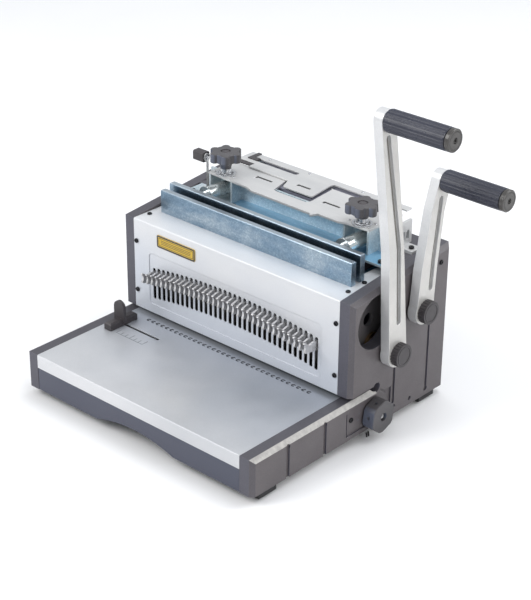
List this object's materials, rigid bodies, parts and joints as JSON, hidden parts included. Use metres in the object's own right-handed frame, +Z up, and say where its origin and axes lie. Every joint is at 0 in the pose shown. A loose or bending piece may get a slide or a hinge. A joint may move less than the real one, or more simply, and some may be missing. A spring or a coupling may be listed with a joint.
{
  "type": "wire comb binding machine",
  "caption": "Manual wire comb binder: low paper tray, tower with punch throat and hook row, two closing jaws on top, two long levers with grips on the right.",
  "frame": {"origin": "on the table under the middle of the machine's overall box, levers and grips included", "axes": "+X to the operator's right, along the lever grips; +Y to the rear; +Z up"},
  "size_m": [0.5, 0.367, 0.4395],
  "materials": {
    "cover_plastic": "moulded, fine grain",
    "tray_silver": "silver paint, satin",
    "panel_silver": "pale silver paint, satin",
    "zinc_plate": "zinc plated, cool blue sheen",
    "zinc_bright": "bright zinc sheet",
    "steel_ground": "ground",
    "steel_dark": "blackened",
    "cast_alloy": "cast and brushed",
    "grip_plastic": "ribbed, slightly soft",
    "knob_plastic": "moulded, fine grain",
    "apron_paint": "dark grey textured paint",
    "bronze": "sintered, oiled",
    "rubber": "matte",
    "badge": "gold film, satin",
    "screw_black": "black oxide",
    "screw_bright": "nickel plated"
  },
  "bodies": {
    "frame": {"badge_plate": "badge", "bar_guide_posts": "steel_ground", "base_pan": "steel_dark", "cover_screws": "screw_black", "die_block": "steel_ground", "end_bracket": "zinc_bright", "front_jaw": "zinc_plate", "front_panel": "panel_silver", "guide_bushes": "zinc_plate", "hook_comb": "zinc_bright", "jaw_bracket": "zinc_plate", "left_side_cover": "cover_plastic", "left_side_plate": "steel_dark", "panel_screws": "screw_black", "paper_tray": "tray_silver", "pin_guide_block": "steel_ground", "rear_cover": "cover_plastic", "right_side_cover": "cover_plastic", "right_side_plate": "steel_dark", "rubber_feet": "rubber", "shaft_bushes": "bronze", "size_plate": "steel_dark", "stud_nuts": "screw_bright", "top_cover_plate": "zinc_bright"},
    "punch_lever": {"punch_arm": "cast_alloy", "punch_arm_cap": "knob_plastic", "punch_shaft": "steel_ground", "punch_grip_spindle": "steel_ground", "punch_eccentrics": "steel_ground"},
    "punch_handle": {"punch_grip": "grip_plastic", "punch_grip_cap": "grip_plastic"},
    "punch_slide": {"punch_bar": "steel_ground", "punch_yokes": "steel_ground", "punch_pins": "steel_ground"},
    "closing_lever": {"closing_arm": "cast_alloy", "closing_arm_cap": "knob_plastic", "closing_shaft": "steel_ground", "closing_grip_spindle": "steel_ground", "closing_eccentrics": "steel_ground"},
    "closing_handle": {"closing_grip": "grip_plastic", "closing_grip_cap": "grip_plastic"},
    "closing_slide": {"moving_jaw": "zinc_plate", "push_rods": "steel_ground", "jaw_carriages": "zinc_plate", "slide_rail": "steel_dark", "stop_plate": "zinc_bright", "slide_end_cap": "knob_plastic"},
    "left_star": {"star_knob_left": "knob_plastic", "star_stud_left": "screw_bright"},
    "right_star": {"star_knob_right": "knob_plastic", "star_stud_right": "screw_bright"},
    "loop_size_knob": {"size_knob": "knob_plastic", "size_spindle": "screw_bright"},
    "margin_wheel": {"margin_knob": "knob_plastic", "margin_shaft": "steel_ground", "margin_knob_screw": "screw_bright"},
    "back_stop": {"back_stop_bar": "steel_ground"},
    "guide": {"edge_guide": "knob_plastic"},
    "drawer": {"chip_drawer": "apron_paint"}
  },
  "joints": [
    {"name": "punch_lever_pull", "type": "hinge", "parent": "frame", "child": "punch_lever", "pos_m": [-0.054, 0.061, 0.1115], "axis": [1, 0, 0], "range_deg": [0, 85]},
    {"name": "punch_stroke", "type": "slide", "parent": "frame", "child": "punch_slide", "axis": [0, 0, -1], "range_m": [0, 0.012]},
    {"name": "closing_lever_push", "type": "hinge", "parent": "frame", "child": "closing_lever", "pos_m": [-0.054, 0.1123, 0.1509], "axis": [-1, 0, 0], "range_deg": [0, 75]},
    {"name": "jaw_stroke", "type": "slide", "parent": "frame", "child": "closing_slide", "axis": [0, -1, 0], "range_m": [0, 0.0065]},
    {"name": "punch_grip_spin", "type": "hinge", "parent": "punch_lever", "child": "punch_handle", "pos_m": [0.204, 0.0235, 0.4255], "axis": [1, 0, 0], "continuous": true},
    {"name": "closing_grip_spin", "type": "hinge", "parent": "closing_lever", "child": "closing_handle", "pos_m": [0.204, 0.1395, 0.3165], "axis": [1, 0, 0], "continuous": true},
    {"name": "left_star_turn", "type": "hinge", "parent": "frame", "child": "left_star", "pos_m": [-0.1695, 0.1035, 0.252], "axis": [0, 0, 1], "continuous": true},
    {"name": "right_star_turn", "type": "hinge", "parent": "frame", "child": "right_star", "pos_m": [0.0615, 0.1035, 0.252], "axis": [0, 0, 1], "continuous": true},
    {"name": "loop_size_turn", "type": "hinge", "parent": "frame", "child": "loop_size_knob", "pos_m": [-0.202, 0.092, 0.2615], "axis": [1, 0, 0], "continuous": true},
    {"name": "margin_turn", "type": "hinge", "parent": "frame", "child": "margin_wheel", "pos_m": [0.151, 0.0375, 0.032], "axis": [1, 0, 0], "range_deg": [-90, 90]},
    {"name": "back_stop_shift", "type": "slide", "parent": "frame", "child": "back_stop", "axis": [0, 1, 0], "range_m": [-0.002, 0.002]},
    {"name": "edge_guide_slide", "type": "slide", "parent": "frame", "child": "guide", "axis": [1, 0, 0], "range_m": [0, 0.062]},
    {"name": "chip_drawer_pull", "type": "slide", "parent": "frame", "child": "drawer", "axis": [0, -1, 0], "range_m": [0, 0.15]}
  ],
  "couplings": [
    {"joint": "punch_stroke", "follows": "punch_lever_pull", "m_per_rad": 0.008089},
    {"joint": "jaw_stroke", "follows": "closing_lever_push", "m_per_rad": 0.004966},
    {"joint": "margin_turn", "follows": "back_stop_shift", "rad_per_m": 785.4}
  ]
}
